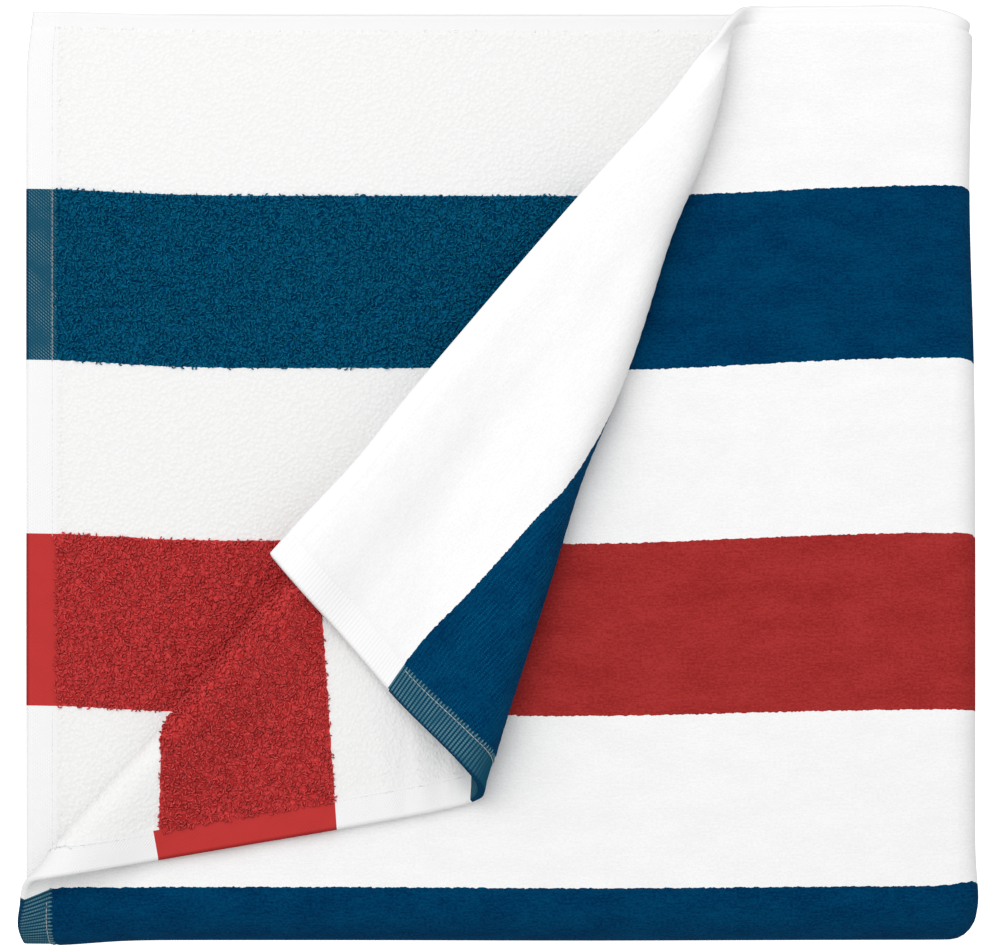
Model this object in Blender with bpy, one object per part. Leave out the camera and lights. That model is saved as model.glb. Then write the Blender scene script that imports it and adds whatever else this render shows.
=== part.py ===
"""A beach towel, folded into eight layers, with the hemmed corner of its top layer turned back.

One striped cloth, velour on one face and terry on the other, is folded twice across its length and then
once along it. The corner of the top layer is rolled over to show its terry, and rolled back again, so that
its tip shows velour. The cloth is worked out flat, in u (along its length, from the top layer's end hem) and
v (across it, from the top layer's selvedge), and place() carries each flat point to where it lies.

All sizes are in millimetres, and the finished mesh is in metres, +Z up.
"""

import math
from collections import namedtuple

import bmesh
import bpy
import numpy as np

METRES = 0.001

# ---- the cloth, laid flat
LENGTH = 1505.0  # over both end hems
WIDTH = 762.0  # over both side hems
THICKNESS = 4.0  # with its pile
HEM_THICKNESS = 2.8
END_HEM = 11.7
SIDE_HEM = 5.6
HEM_SHOULDER = 2.0  # the pile's slope down to a hem
STRIPE = 69.3  # each of the ten outer stripes
SELVEDGE_EXTRA = 2.7  # what the first and the last stripe have more
WHITE, BLUE, RED = "white", "blue", "red"
STRIPE_COLOURS = [WHITE, BLUE, WHITE, RED, WHITE, BLUE, WHITE, RED, WHITE, BLUE, WHITE]
COLOUR_VALUES = {WHITE: (0.90, 0.90, 0.88), BLUE: (0.0, 0.045, 0.125), RED: (0.36, 0.02, 0.025)}

# ---- the folded packet, seen from above: +X to the right, +Y away from the fold along the cloth
PITCH = 5.2  # from the middle of one layer to the middle of the next
TOP_HEM_X = -190.4
SECOND_HEM_X = -188.4
RIGHT_X = 180.2  # where the layers start to turn at the right
LONG_FOLD_Y = -166.8  # where the layers start to turn under, at the fold along the cloth

# The four plies of the crosswise folds, in the cloth's order. level counts up from the stack's lowest ply;
# selvedge_y and under_y are where the ply's two selvedges lie, above and below the fold along the cloth.
Ply = namedtuple("Ply", "start_x end_x level selvedge_y under_y")
TOP_LEVEL = 3
LEFT_X = RIGHT_X - (LENGTH - (RIGHT_X - TOP_HEM_X) - (RIGHT_X - SECOND_HEM_X) - 2.5 * math.pi * PITCH) / 2
PLIES = [
    Ply(TOP_HEM_X, RIGHT_X, TOP_LEVEL, 186.0, 182.4),
    Ply(RIGHT_X, LEFT_X, 0, 182.6, 183.2),
    Ply(LEFT_X, RIGHT_X, 1, 184.0, 181.6),
    Ply(RIGHT_X, SECOND_HEM_X, 2, 183.0, 183.8),
]
BEND_WIDTH = (TOP_LEVEL + 0.5) * math.pi * PITCH  # of cloth in the fold along its length, on the top ply
BEND_START = (WIDTH - BEND_WIDTH) / 2
BEND_END = WIDTH - BEND_START

# ---- the turned corner
# Each roll runs from the hem to the selvedge. hem_v and selvedge_u are its ends on the flat cloth; hem_at and
# selvedge_at are where its outer side lies in the packet. radius is at the hem, and the roll tightens
# evenly towards the selvedge. fall is how far past the roll the cloth takes to come down, and side is +1 for
# a roll whose outer side faces +X, -1 for the other.
Roll = namedtuple("Roll", "hem_v selvedge_u hem_at selvedge_at radius fall side")
FIRST_ROLL = Roll(344.6, 286.5, (-188.4, -162.6), (98.0, 186.0), 7.0, 30.0, -1)
SECOND_ROLL = Roll(131.0, 283.5, (-6.0, -115.9), (94.0, 182.0), 9.5, 40.0, 1)
TIGHT = 4.0  # the radius of both rolls where they meet, at the selvedge
TIP_LIFT = 1.0  # how much more than a layer's pitch the tip stands off the panel under it
OVERHANG_EASE = 1.8  # how much gentler than the roll under it the tip bends down

# The two turned panels, row by row across the cloth. hem_x and hem_y are where the end hem lies at v, and
# run_x and run_y say which way the cloth runs from there, for each millimetre of u.
Row = namedtuple("Row", "v hem_x hem_y run_x run_y")
TERRY_PANEL = [
    Row(0.0, 116.1, -94.3, -0.075, 0.98),
    Row(70.0, 51.6, -111.7, -0.075, 0.99),
    Row(133.6, -4.0, -127.6, -0.075, 1.00),
    Row(211.5, -65.6, -139.9, -0.070, 1.02),
    Row(279.4, -137.1, -151.8, 0.0, 1.02),
    Row(344.6, -192.6, -160.6, 0.02, 1.02),
]
VELOUR_PANEL = [
    Row(0.0, -90.2, -31.0, 0.648, 0.746),
    Row(72.3, -42.5, -85.1, 0.625, 0.768),
    Row(133.6, -0.8, -130.0, 0.615, 0.775),
    Row(344.6, 142.8, -285.0, 0.580, 0.800),
]

# ---- how uneven it lies
# Each row pulls the upper layers near x, y by dx, dy, from one of the PLIES to another, counted from 0.
Pull = namedtuple("Pull", "first last x y reach_x reach_y dx dy")
PULLS = [
    Pull(3, 3, -188.0, 40.0, 45.0, 160.0, 0.0, 3.4),  # the second layer's hem lies askew
    Pull(3, 3, -188.0, 186.0, 14.0, 16.0, 2.6, 0.0),
    Pull(3, 3, -188.0, -91.0, 45.0, 40.0, 0.0, 1.4),
    Pull(0, 3, 190.0, 190.0, 20.0, 14.0, -1.0, -6.0),  # the fold rounds off at its far end
    Pull(0, 3, 190.0, 115.0, 24.0, 60.0, -2.2, 0.0),
    Pull(0, 0, -100.0, -60.0, 50.0, 50.0, 5.0, 0.0),  # the first roll bows to the right
    Pull(0, 0, 30.0, 20.0, 60.0, 140.0, 0.0, -2.6),  # the stripes dip beside the turned corner
    Pull(0, 0, 75.0, 100.0, 50.0, 60.0, 0.0, -1.6),
    Pull(0, 0, 178.0, 20.0, 70.0, 140.0, 0.0, 2.3),  # and climb towards the right fold
    Pull(0, 0, 190.0, -165.0, 10.0, 16.0, 0.0, 2.4),
    Pull(0, 0, -190.0, -168.0, 9.0, 12.0, 0.0, -4.0),  # the top layer's hem bulges at the long fold
    Pull(0, 0, -192.0, -177.0, 18.0, 8.0, -1.3, 0.0),
    Pull(0, 0, -180.0, -187.0, 22.0, 9.0, 0.0, -3.6),
]
# Each row pulls the turned corner near u, v on the flat cloth by dx, dy.
CornerPull = namedtuple("CornerPull", "u v reach_u reach_v dx dy")
CORNER_PULLS = [
    CornerPull(165.0, 55.0, 85.0, 50.0, 5.0, -1.7),  # the second roll bows to the right
    CornerPull(228.0, 27.0, 26.0, 15.0, 3.6, 0.0),
    CornerPull(252.0, 14.0, 30.0, 16.0, 4.0, 0.0),
    CornerPull(262.0, 0.0, 20.0, 7.0, -2.8, 0.0),
    CornerPull(165.0, 0.0, 75.0, 22.0, -2.8, 0.0),  # and its selvedge to the left
    CornerPull(48.0, 0.0, 24.0, 20.0, 1.8, 0.0),
    CornerPull(100.0, 74.0, 40.0, 16.0, -2.6, 0.9),  # the tip's stripe bends
    CornerPull(35.0, 74.0, 34.0, 16.0, -2.8, 1.0),
    CornerPull(5.0, 112.0, 34.0, 22.0, -0.4, 2.8),  # the tip's end is drawn up
    CornerPull(48.0, 276.0, 22.0, 40.0, 1.4, 0.0),
    CornerPull(40.0, 279.9, 90.0, 22.0, 2.3, 0.0),
]
# Each row lifts the layers in a low mound about x, y. The lowest layer lies flat, and the ones above it rise
# more the higher they lie.
Mound = namedtuple("Mound", "x y reach_x reach_y rise")
MOUNDS = [
    Mound(60.0, -60.0, 110.0, 90.0, 1.6),
    Mound(-120.0, 90.0, 80.0, 90.0, 1.0),
    Mound(150.0, 120.0, 70.0, 60.0, -1.0),
    Mound(-60.0, -170.0, 120.0, 40.0, -0.8),
]

# ---- how finely the cloth is divided
PLY_STEP = 75.0
FOLD_STEPS = 6
BEND_STEPS = 8
ROLL_STEPS = 6
FALL_STEPS = 4
TIP_LINES = [9.0, 17.0, 25.0, 33.0, 42.0, 52.0]  # across the tip, where it lies over the first roll
PROBE = 0.05  # how far apart the points are that a slope is read from


def smooth(t):
    """0 below 0, 1 above 1, and an S-shaped rise between."""
    t = np.clip(t, 0.0, 1.0)
    return t * t * (3.0 - 2.0 * t)


def section(u):
    """Where u lies in the crosswise section: its x, its level in the stack, and its ply, or between two."""
    x, level, ply = np.zeros_like(u), np.zeros_like(u), np.zeros_like(u)
    start = 0.0
    for i, row in enumerate(PLIES):
        way, run = math.copysign(1.0, row.end_x - row.start_x), abs(row.end_x - row.start_x)
        on = (u >= start) | (i == 0)
        x[on] = row.start_x + way * (u[on] - start)
        level[on], ply[on] = row.level, i
        start += run
        if i + 1 < len(PLIES):
            rise = PLIES[i + 1].level - row.level
            radius = abs(rise) * PITCH / 2
            on = u >= start
            turn = (u[on] - start) / radius
            x[on] = row.end_x + way * radius * np.sin(turn)
            level[on] = row.level + rise * (1 - np.cos(turn)) / 2
            ply[on] = i + (1 - np.cos(np.minimum(turn, math.pi))) / 2
            start += math.pi * radius
    return x, level, ply


def packet(u, v):
    """Where the cloth lies before its corner is turned: the section, round the fold along the cloth."""
    x, level, ply = section(u)
    radius = (level + 0.5) * PITCH
    turn = np.clip((v - BEND_START) / BEND_WIDTH, 0.0, 1.0) * math.pi
    selvedge_y = np.interp(ply, range(len(PLIES)), [p.selvedge_y for p in PLIES])
    under_y = np.interp(ply, range(len(PLIES)), [p.under_y for p in PLIES])
    above = selvedge_y - v * (selvedge_y - LONG_FOLD_Y) / BEND_START
    below = LONG_FOLD_Y + (v - BEND_END) * (under_y - LONG_FOLD_Y) / BEND_START
    y = np.where(v < BEND_START, above, np.where(v > BEND_END, below, LONG_FOLD_Y - radius * np.sin(turn)))
    z = radius * np.cos(turn) - 0.5 * PITCH
    upper = np.cos(turn / 2) ** 2
    dx, dy = np.zeros_like(x), np.zeros_like(x)
    for row in PULLS:
        near = np.exp(-(((x - row.x) / row.reach_x) ** 2) - ((y - row.y) / row.reach_y) ** 2)
        near = near * upper * (1.0 - smooth(2.0 * np.maximum(row.first - ply, ply - row.last)))
        dx, dy = dx + near * row.dx, dy + near * row.dy
    return x + dx, y + dy, z


def roll_apex():
    """Where the two rolls' lines would cross on the flat cloth, just outside its selvedge."""
    a, b = FIRST_ROLL, SECOND_ROLL
    u = (a.hem_v - b.hem_v) / (a.hem_v / a.selvedge_u - b.hem_v / b.selvedge_u)
    return u, a.hem_v * (1 - u / a.selvedge_u)


def roll_line(roll):
    """A roll's direction on the flat cloth, from the apex to the hem, and how its radius grows along it."""
    apex = roll_apex()
    along_u, along_v = -apex[0], roll.hem_v - apex[1]
    length = math.hypot(along_u, along_v)
    return along_u / length, along_v / length, (roll.radius - TIGHT) / length


def roll_turn(roll, u, v):
    """How far round a roll the cloth is at (u, v), -90 to 90 degrees in radians, and its radius there."""
    apex = roll_apex()
    along_u, along_v, growth = roll_line(roll)
    along = (u - apex[0]) * along_u + (v - apex[1]) * along_v
    past = (u - apex[0]) * -along_v + (v - apex[1]) * along_u
    radius = TIGHT + growth * np.maximum(along, 0.0)
    return np.clip(past / radius, -math.pi / 2, math.pi / 2), radius


def inside_roll(roll, x, y):
    """How far (x, y) is inside a roll's outer side, and the way out of the roll, in the packet."""
    from_x, from_y = roll.selvedge_at
    along_x, along_y = roll.hem_at[0] - from_x, roll.hem_at[1] - from_y
    length = math.hypot(along_x, along_y)
    out_x, out_y = -roll.side * along_y / length, roll.side * along_x / length
    return -((x - from_x) * out_x + (y - from_y) * out_y), out_x, out_y


def turned(rows, u, v):
    """Where a turned panel lies: its hem on a smooth curve through the rows, and u along their direction."""
    knots = np.array([row.v for row in rows])
    values = np.array([row[1:] for row in rows])
    slopes = np.gradient(values, knots, axis=0)
    i = np.clip(np.searchsorted(knots, v) - 1, 0, len(knots) - 2)
    gap = knots[i + 1] - knots[i]
    t = np.clip((v - knots[i]) / gap, -0.2, 1.2)[:, None]
    a, b, gap = values[i], values[i + 1], gap[:, None]
    curve = a + (3 * t**2 - 2 * t**3) * (b - a)
    curve += gap * ((t**3 - 2 * t**2 + t) * slopes[i] + (t**3 - t**2) * slopes[i + 1])
    return curve[:, 0] + u * curve[:, 2], curve[:, 1] + u * curve[:, 3]


def place(u, v):
    """The middle of the cloth at each flat point, as an array of x, y, z."""
    x, y, z = packet(u, v)
    turn_1, radius_1 = roll_turn(FIRST_ROLL, u, v)
    turn_2, radius_2 = roll_turn(SECOND_ROLL, u, v)
    over_1, over_2 = (1 + np.sin(turn_1)) / 2, (1 + np.sin(turn_2)) / 2
    for rows, over in ((TERRY_PANEL, over_1), (VELOUR_PANEL, over_2)):
        to_x, to_y = turned(rows, u, v)
        x, y = x + over * (to_x - x), y + over * (to_y - y)
    for row in CORNER_PULLS:
        near = over_1 * np.exp(-(((u - row.u) / row.reach_u) ** 2) - ((v - row.v) / row.reach_v) ** 2)
        x, y = x + near * row.dx, y + near * row.dy
    for roll, turn, radius in ((FIRST_ROLL, turn_1, radius_1), (SECOND_ROLL, turn_2, radius_2)):
        taken_up = radius * (math.pi / 2 - turn * np.sin(turn) - np.cos(turn))
        _, out_x, out_y = inside_roll(roll, x, y)
        x, y = x - taken_up * out_x, y - taken_up * out_y
    inside_1 = inside_roll(FIRST_ROLL, x, y)[0]
    inside_2 = inside_roll(SECOND_ROLL, x, y)[0]
    fall_1 = smooth((inside_1 - radius_1) / FIRST_ROLL.fall)
    fall_2 = smooth((inside_2 - radius_2) / SECOND_ROLL.fall)
    z = z + over_1 * (2 * radius_1 - (2 * radius_1 - PITCH) * fall_1)
    z = z + over_2 * (2 * radius_2 - (2 * radius_2 - PITCH - TIP_LIFT) * fall_2)
    overhang = np.maximum(radius_1 - inside_1, 0.0)
    z = z - over_2 * overhang**2 / (2 * OVERHANG_EASE * (radius_1 + PITCH))
    height = (z + (TOP_LEVEL + 1) * PITCH) / ((2 * TOP_LEVEL + 1) * PITCH)
    for row in MOUNDS:
        near = np.exp(-(((x - row.x) / row.reach_x) ** 2) - ((y - row.y) / row.reach_y) ** 2)
        z = z + np.clip(height, 0.0, 1.0) * near * row.rise
    return np.stack([x, y, z], axis=-1)


def thickness(u, v):
    """The cloth's thickness at each flat point: less on its hems."""
    in_end = np.minimum(u, LENGTH - u) - END_HEM
    in_side = np.minimum(v, WIDTH - v) - SIDE_HEM
    pile = smooth(np.minimum(in_end, in_side) / HEM_SHOULDER)
    return HEM_THICKNESS + (THICKNESS - HEM_THICKNESS) * pile


def stations(start, end, steps):
    """The inner points of a run divided evenly."""
    return [start + (end - start) * i / steps for i in range(1, steps)]


def length_lines():
    """Every u at which the flat cloth is divided: its hems, its plies and its folds."""
    lines, start = [END_HEM, END_HEM + HEM_SHOULDER], 0.0
    for i, row in enumerate(PLIES):
        run = abs(row.end_x - row.start_x)
        lines += stations(start, start + run, round(run / PLY_STEP))
        start += run
        if i + 1 < len(PLIES):
            turned_over = math.pi * abs(PLIES[i + 1].level - row.level) * PITCH / 2
            lines += [start, *stations(start, start + turned_over, FOLD_STEPS), start + turned_over]
            start += turned_over
    return [*lines, LENGTH - END_HEM - HEM_SHOULDER, LENGTH - END_HEM]


def width_lines():
    """Every v at which the flat cloth is divided: its side hems, its stripes and the fold along it."""
    stripes = [SELVEDGE_EXTRA + STRIPE * i for i in range(1, 6)]
    half = [SIDE_HEM, SIDE_HEM + HEM_SHOULDER, *stripes, BEND_START]
    bend = stations(BEND_START, BEND_END, BEND_STEPS)
    return [*half, *bend, *(WIDTH - v for v in reversed(half))]


def roll_lines(roll, turns, fall):
    """Points and directions of the flat cloth's lines at the turns round a roll, or fall past it."""
    apex = roll_apex()
    along_u, along_v, growth = roll_line(roll)
    for turn in turns:
        off = turn * TIGHT + fall
        point = (apex[0] - along_v * off, apex[1] + along_u * off)
        yield point, (along_u - along_v * turn * growth, along_v + along_u * turn * growth)


def panel_of(u, v):
    """Which panel of the turned corner a flat point is in: 0 still lies flat, 1 shows terry, 2 is the tip."""
    turn_1 = roll_turn(FIRST_ROLL, np.array([u]), np.array([v]))[0][0]
    turn_2 = roll_turn(SECOND_ROLL, np.array([u]), np.array([v]))[0][0]
    return int(turn_1 >= 0) + int(turn_1 >= 0 and turn_2 >= 0)


def flat_cloth():
    """The cloth laid flat in u and v, divided along every line on which it turns or changes."""
    flat = bmesh.new()
    corners = [flat.verts.new((u, v, 0.0)) for u, v in ((0, 0), (LENGTH, 0), (LENGTH, WIDTH), (0, WIDTH))]
    flat.faces.new(corners)

    def cut(point, along, faces):
        geometry = {*faces, *(e for f in faces for e in f.edges), *(w for f in faces for w in f.verts)}
        normal = (-along[1], along[0], 0.0)
        bmesh.ops.bisect_plane(flat, geom=list(geometry), dist=0.01, plane_co=(*point, 0.0), plane_no=normal)

    for u in length_lines():
        cut((u, 0.0), (0.0, 1.0), flat.faces[:])
    for v in width_lines():
        cut((0.0, v), (1.0, 0.0), flat.faces[:])
    round_roll = [math.pi * (i / ROLL_STEPS - 0.5) for i in range(ROLL_STEPS + 1)]
    for roll, panel in ((FIRST_ROLL, 1), (SECOND_ROLL, 2)):
        for point, along in roll_lines(roll, round_roll, 0.0):
            cut(point, along, [f for f in flat.faces if f.calc_center_median().x < RIGHT_X - TOP_HEM_X])
        for i in range(FALL_STEPS):
            for point, along in roll_lines(roll, [math.pi / 2], roll.fall * (i + 1) / FALL_STEPS):
                cut(point, along, [f for f in flat.faces if panel_of(*f.calc_center_median()[:2]) == panel])
    for v in TIP_LINES:
        cut((0.0, v), (1.0, 0.0), [f for f in flat.faces if panel_of(*f.calc_center_median()[:2]) == 2])
    bmesh.ops.remove_doubles(flat, verts=flat.verts[:], dist=0.6)
    bmesh.ops.triangulate(flat, faces=flat.faces[:])
    return flat


def folded_towel():
    """The whole cloth as one closed solid, its faces coloured by stripe."""
    flat = flat_cloth()
    flat.verts.index_update()
    uv = np.array([vert.co[:2] for vert in flat.verts])
    triangles = [[vert.index for vert in face.verts] for face in flat.faces]
    stripes = [stripe_index(face.calc_center_median().y) for face in flat.faces]
    rim = [(e.verts[0].index, e.verts[1].index, stripe_index((e.verts[0].co.y + e.verts[1].co.y) / 2), e)
           for e in flat.edges if e.is_boundary]
    rim = [(a, b, stripe) if faces_left(edge, a) else (b, a, stripe) for a, b, stripe, edge in rim]
    flat.free()

    u, v = uv[:, 0], uv[:, 1]
    middle = place(u, v)
    along = place(u + PROBE, v) - place(u - PROBE, v)
    across = place(u, v + PROBE) - place(u, v - PROBE)
    normal = np.cross(across, along)
    normal /= np.linalg.norm(normal, axis=1)[:, None]
    half = thickness(u, v)[:, None] / 2
    velour, terry = middle + normal * half, middle - normal * half
    lowest_ply = velour[:, 2] < -(TOP_LEVEL + 1) * PITCH
    velour[lowest_ply, 2] = velour[:, 2].min()

    points = np.concatenate([velour, terry])
    count = len(uv)
    faces = [(c, b, a) for a, b, c in triangles]
    faces += [(a + count, b + count, c + count) for a, b, c in triangles]
    faces += [(a, b, b + count, a + count) for a, b, _ in rim]
    low, high = points.min(axis=0), points.max(axis=0)
    points -= [(low[0] + high[0]) / 2, (low[1] + high[1]) / 2, low[2]]

    mesh = bpy.data.meshes.new("towel")
    mesh.from_pydata((points * METRES).tolist(), [], faces)
    for colour in dict.fromkeys(STRIPE_COLOURS):
        mesh.materials.append(cloth_material(colour))
    slots = {colour: i for i, colour in enumerate(dict.fromkeys(STRIPE_COLOURS))}
    for polygon, stripe in zip(mesh.polygons, stripes + stripes + [row[2] for row in rim]):
        polygon.material_index = slots[STRIPE_COLOURS[stripe]]
    mesh.update()
    towel = bpy.data.objects.new("towel", mesh)
    bpy.context.collection.objects.link(towel)
    return towel


def stripe_index(v):
    """Which stripe a flat point is in. The middle one takes what the ten others leave."""
    from_selvedge = min(v, WIDTH - v)
    index = min(int(max(from_selvedge - SELVEDGE_EXTRA, 0.0) // STRIPE), len(STRIPE_COLOURS) // 2)
    return index if v < WIDTH / 2 else len(STRIPE_COLOURS) - 1 - index


def faces_left(edge, first):
    """Whether the one face beside a boundary edge runs along it starting at the vertex first."""
    return edge.link_loops[0].vert.index == first


def cloth_material(colour):
    """A plain cloth finish in one of the stripes' colours."""
    material = bpy.data.materials.new(f"cloth_{colour}")
    material.use_nodes = True
    shader = material.node_tree.nodes["Principled BSDF"]
    shader.inputs["Base Color"].default_value = (*COLOUR_VALUES[colour], 1.0)
    shader.inputs["Roughness"].default_value = 0.95
    shader.inputs["Metallic"].default_value = 0.0
    return material


def main():
    """Clear the scene and build the towel."""
    for item in list(bpy.data.objects):
        bpy.data.objects.remove(item, do_unlink=True)
    folded_towel()


main()
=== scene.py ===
"""A folded beach towel with its corner turned back, dressed in its pile, hems and stitching."""

import logging
import math
from dataclasses import dataclass, field
from enum import Enum
from functools import partialmethod

import bpy
import numpy as np
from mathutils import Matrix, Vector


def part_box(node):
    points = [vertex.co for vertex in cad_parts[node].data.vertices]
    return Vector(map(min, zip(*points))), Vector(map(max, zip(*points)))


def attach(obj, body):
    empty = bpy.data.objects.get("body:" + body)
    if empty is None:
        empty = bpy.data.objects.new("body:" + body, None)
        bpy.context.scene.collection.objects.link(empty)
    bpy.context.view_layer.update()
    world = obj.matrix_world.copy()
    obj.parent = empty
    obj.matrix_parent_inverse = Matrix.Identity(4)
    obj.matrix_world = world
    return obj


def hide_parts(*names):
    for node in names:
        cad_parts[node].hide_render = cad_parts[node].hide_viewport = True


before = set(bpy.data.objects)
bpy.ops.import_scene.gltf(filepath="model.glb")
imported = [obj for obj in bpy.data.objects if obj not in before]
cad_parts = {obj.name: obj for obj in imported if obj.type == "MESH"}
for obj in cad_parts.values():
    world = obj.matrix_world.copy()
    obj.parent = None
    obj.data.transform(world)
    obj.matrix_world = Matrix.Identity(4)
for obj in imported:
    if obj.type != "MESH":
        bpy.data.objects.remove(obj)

LOG = logging.getLogger("towel")
NODE = "towel"
BODY = "root"
MM = 0.001
PHOTO_WIDTH, PHOTO_HEIGHT = 1000, 947
PIXEL = 0.3975 * MM  # of the photograph, on the towel
SEED = 7

Colour = tuple[float, float, float]


def smooth(t: np.ndarray) -> np.ndarray:
    """0 below 0, 1 above 1, and an S-shaped rise between."""
    t = np.clip(t, 0.0, 1.0)
    return t * t * (3.0 - 2.0 * t)


def unit(vectors: np.ndarray) -> np.ndarray:
    """The vectors at length 1."""
    return vectors / np.linalg.norm(vectors, axis=-1, keepdims=True)


def bell(x: np.ndarray, y: np.ndarray, reach_x: float, reach_y: float) -> np.ndarray:
    """1 at 0, 0, and a bell-shaped fall round it."""
    return np.exp(-((x / reach_x) ** 2) - (y / reach_y) ** 2)


def lattice(rows: np.ndarray, columns: np.ndarray) -> tuple[np.ndarray, np.ndarray]:
    """Every pair of a row and a column, row by row."""
    row, column = np.meshgrid(rows, columns, indexing="ij")
    return row.ravel(), column.ravel()


class Side(Enum):
    """The two faces of the cloth, by which way they lie from its middle."""

    VELOUR = 1.0
    TERRY = -1.0


class Stripe(Enum):
    """The stripes' colours, named as the dyer would."""

    WHITE = "white"
    BLUE = "blue"
    RED = "red"


STRIPES = {Stripe.WHITE: (0, 2, 4), Stripe.BLUE: (1, 5), Stripe.RED: (3,)}  # counted from a selvedge
PAST_FIRST_EDGE = 100.0  # a v in the first blue stripe, past its edge to the first white one


@dataclass(frozen=True)
class Ply:
    """One run of the crosswise folds, from start_x to end_x, with its two selvedges' places."""

    start_x: float
    end_x: float
    level: float
    selvedge_y: float
    under_y: float


@dataclass(frozen=True)
class Roll:
    """A roll of the turned corner, from the end hem to the selvedge, tighter towards the selvedge."""

    hem_v: float
    selvedge_u: float
    hem_at: tuple[float, float]
    selvedge_at: tuple[float, float]
    radius: float
    fall: float
    side: float


@dataclass(frozen=True)
class PanelRow:
    """Where a turned panel's hem lies at v, and which way the cloth runs from there."""

    v: float
    hem_x: float
    hem_y: float
    run_x: float
    run_y: float


@dataclass(frozen=True)
class Pull:
    """A small pull of the plies first to last, round x, y."""

    first: int
    last: int
    x: float
    y: float
    reach_x: float
    reach_y: float
    dx: float
    dy: float


@dataclass(frozen=True)
class CornerPull:
    """A small pull of the turned corner, round u, v on the flat cloth."""

    u: float
    v: float
    reach_u: float
    reach_v: float
    dx: float
    dy: float


@dataclass(frozen=True)
class Mound:
    """A low rise of the layers round x, y."""

    x: float
    y: float
    reach_x: float
    reach_y: float
    rise: float


@dataclass(frozen=True)
class Crease:
    """A soft ridge, or a trough where rise is negative, centred at u, v on the flat cloth."""

    u: float
    v: float
    length: float
    width: float
    degrees: float
    rise: float


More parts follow.
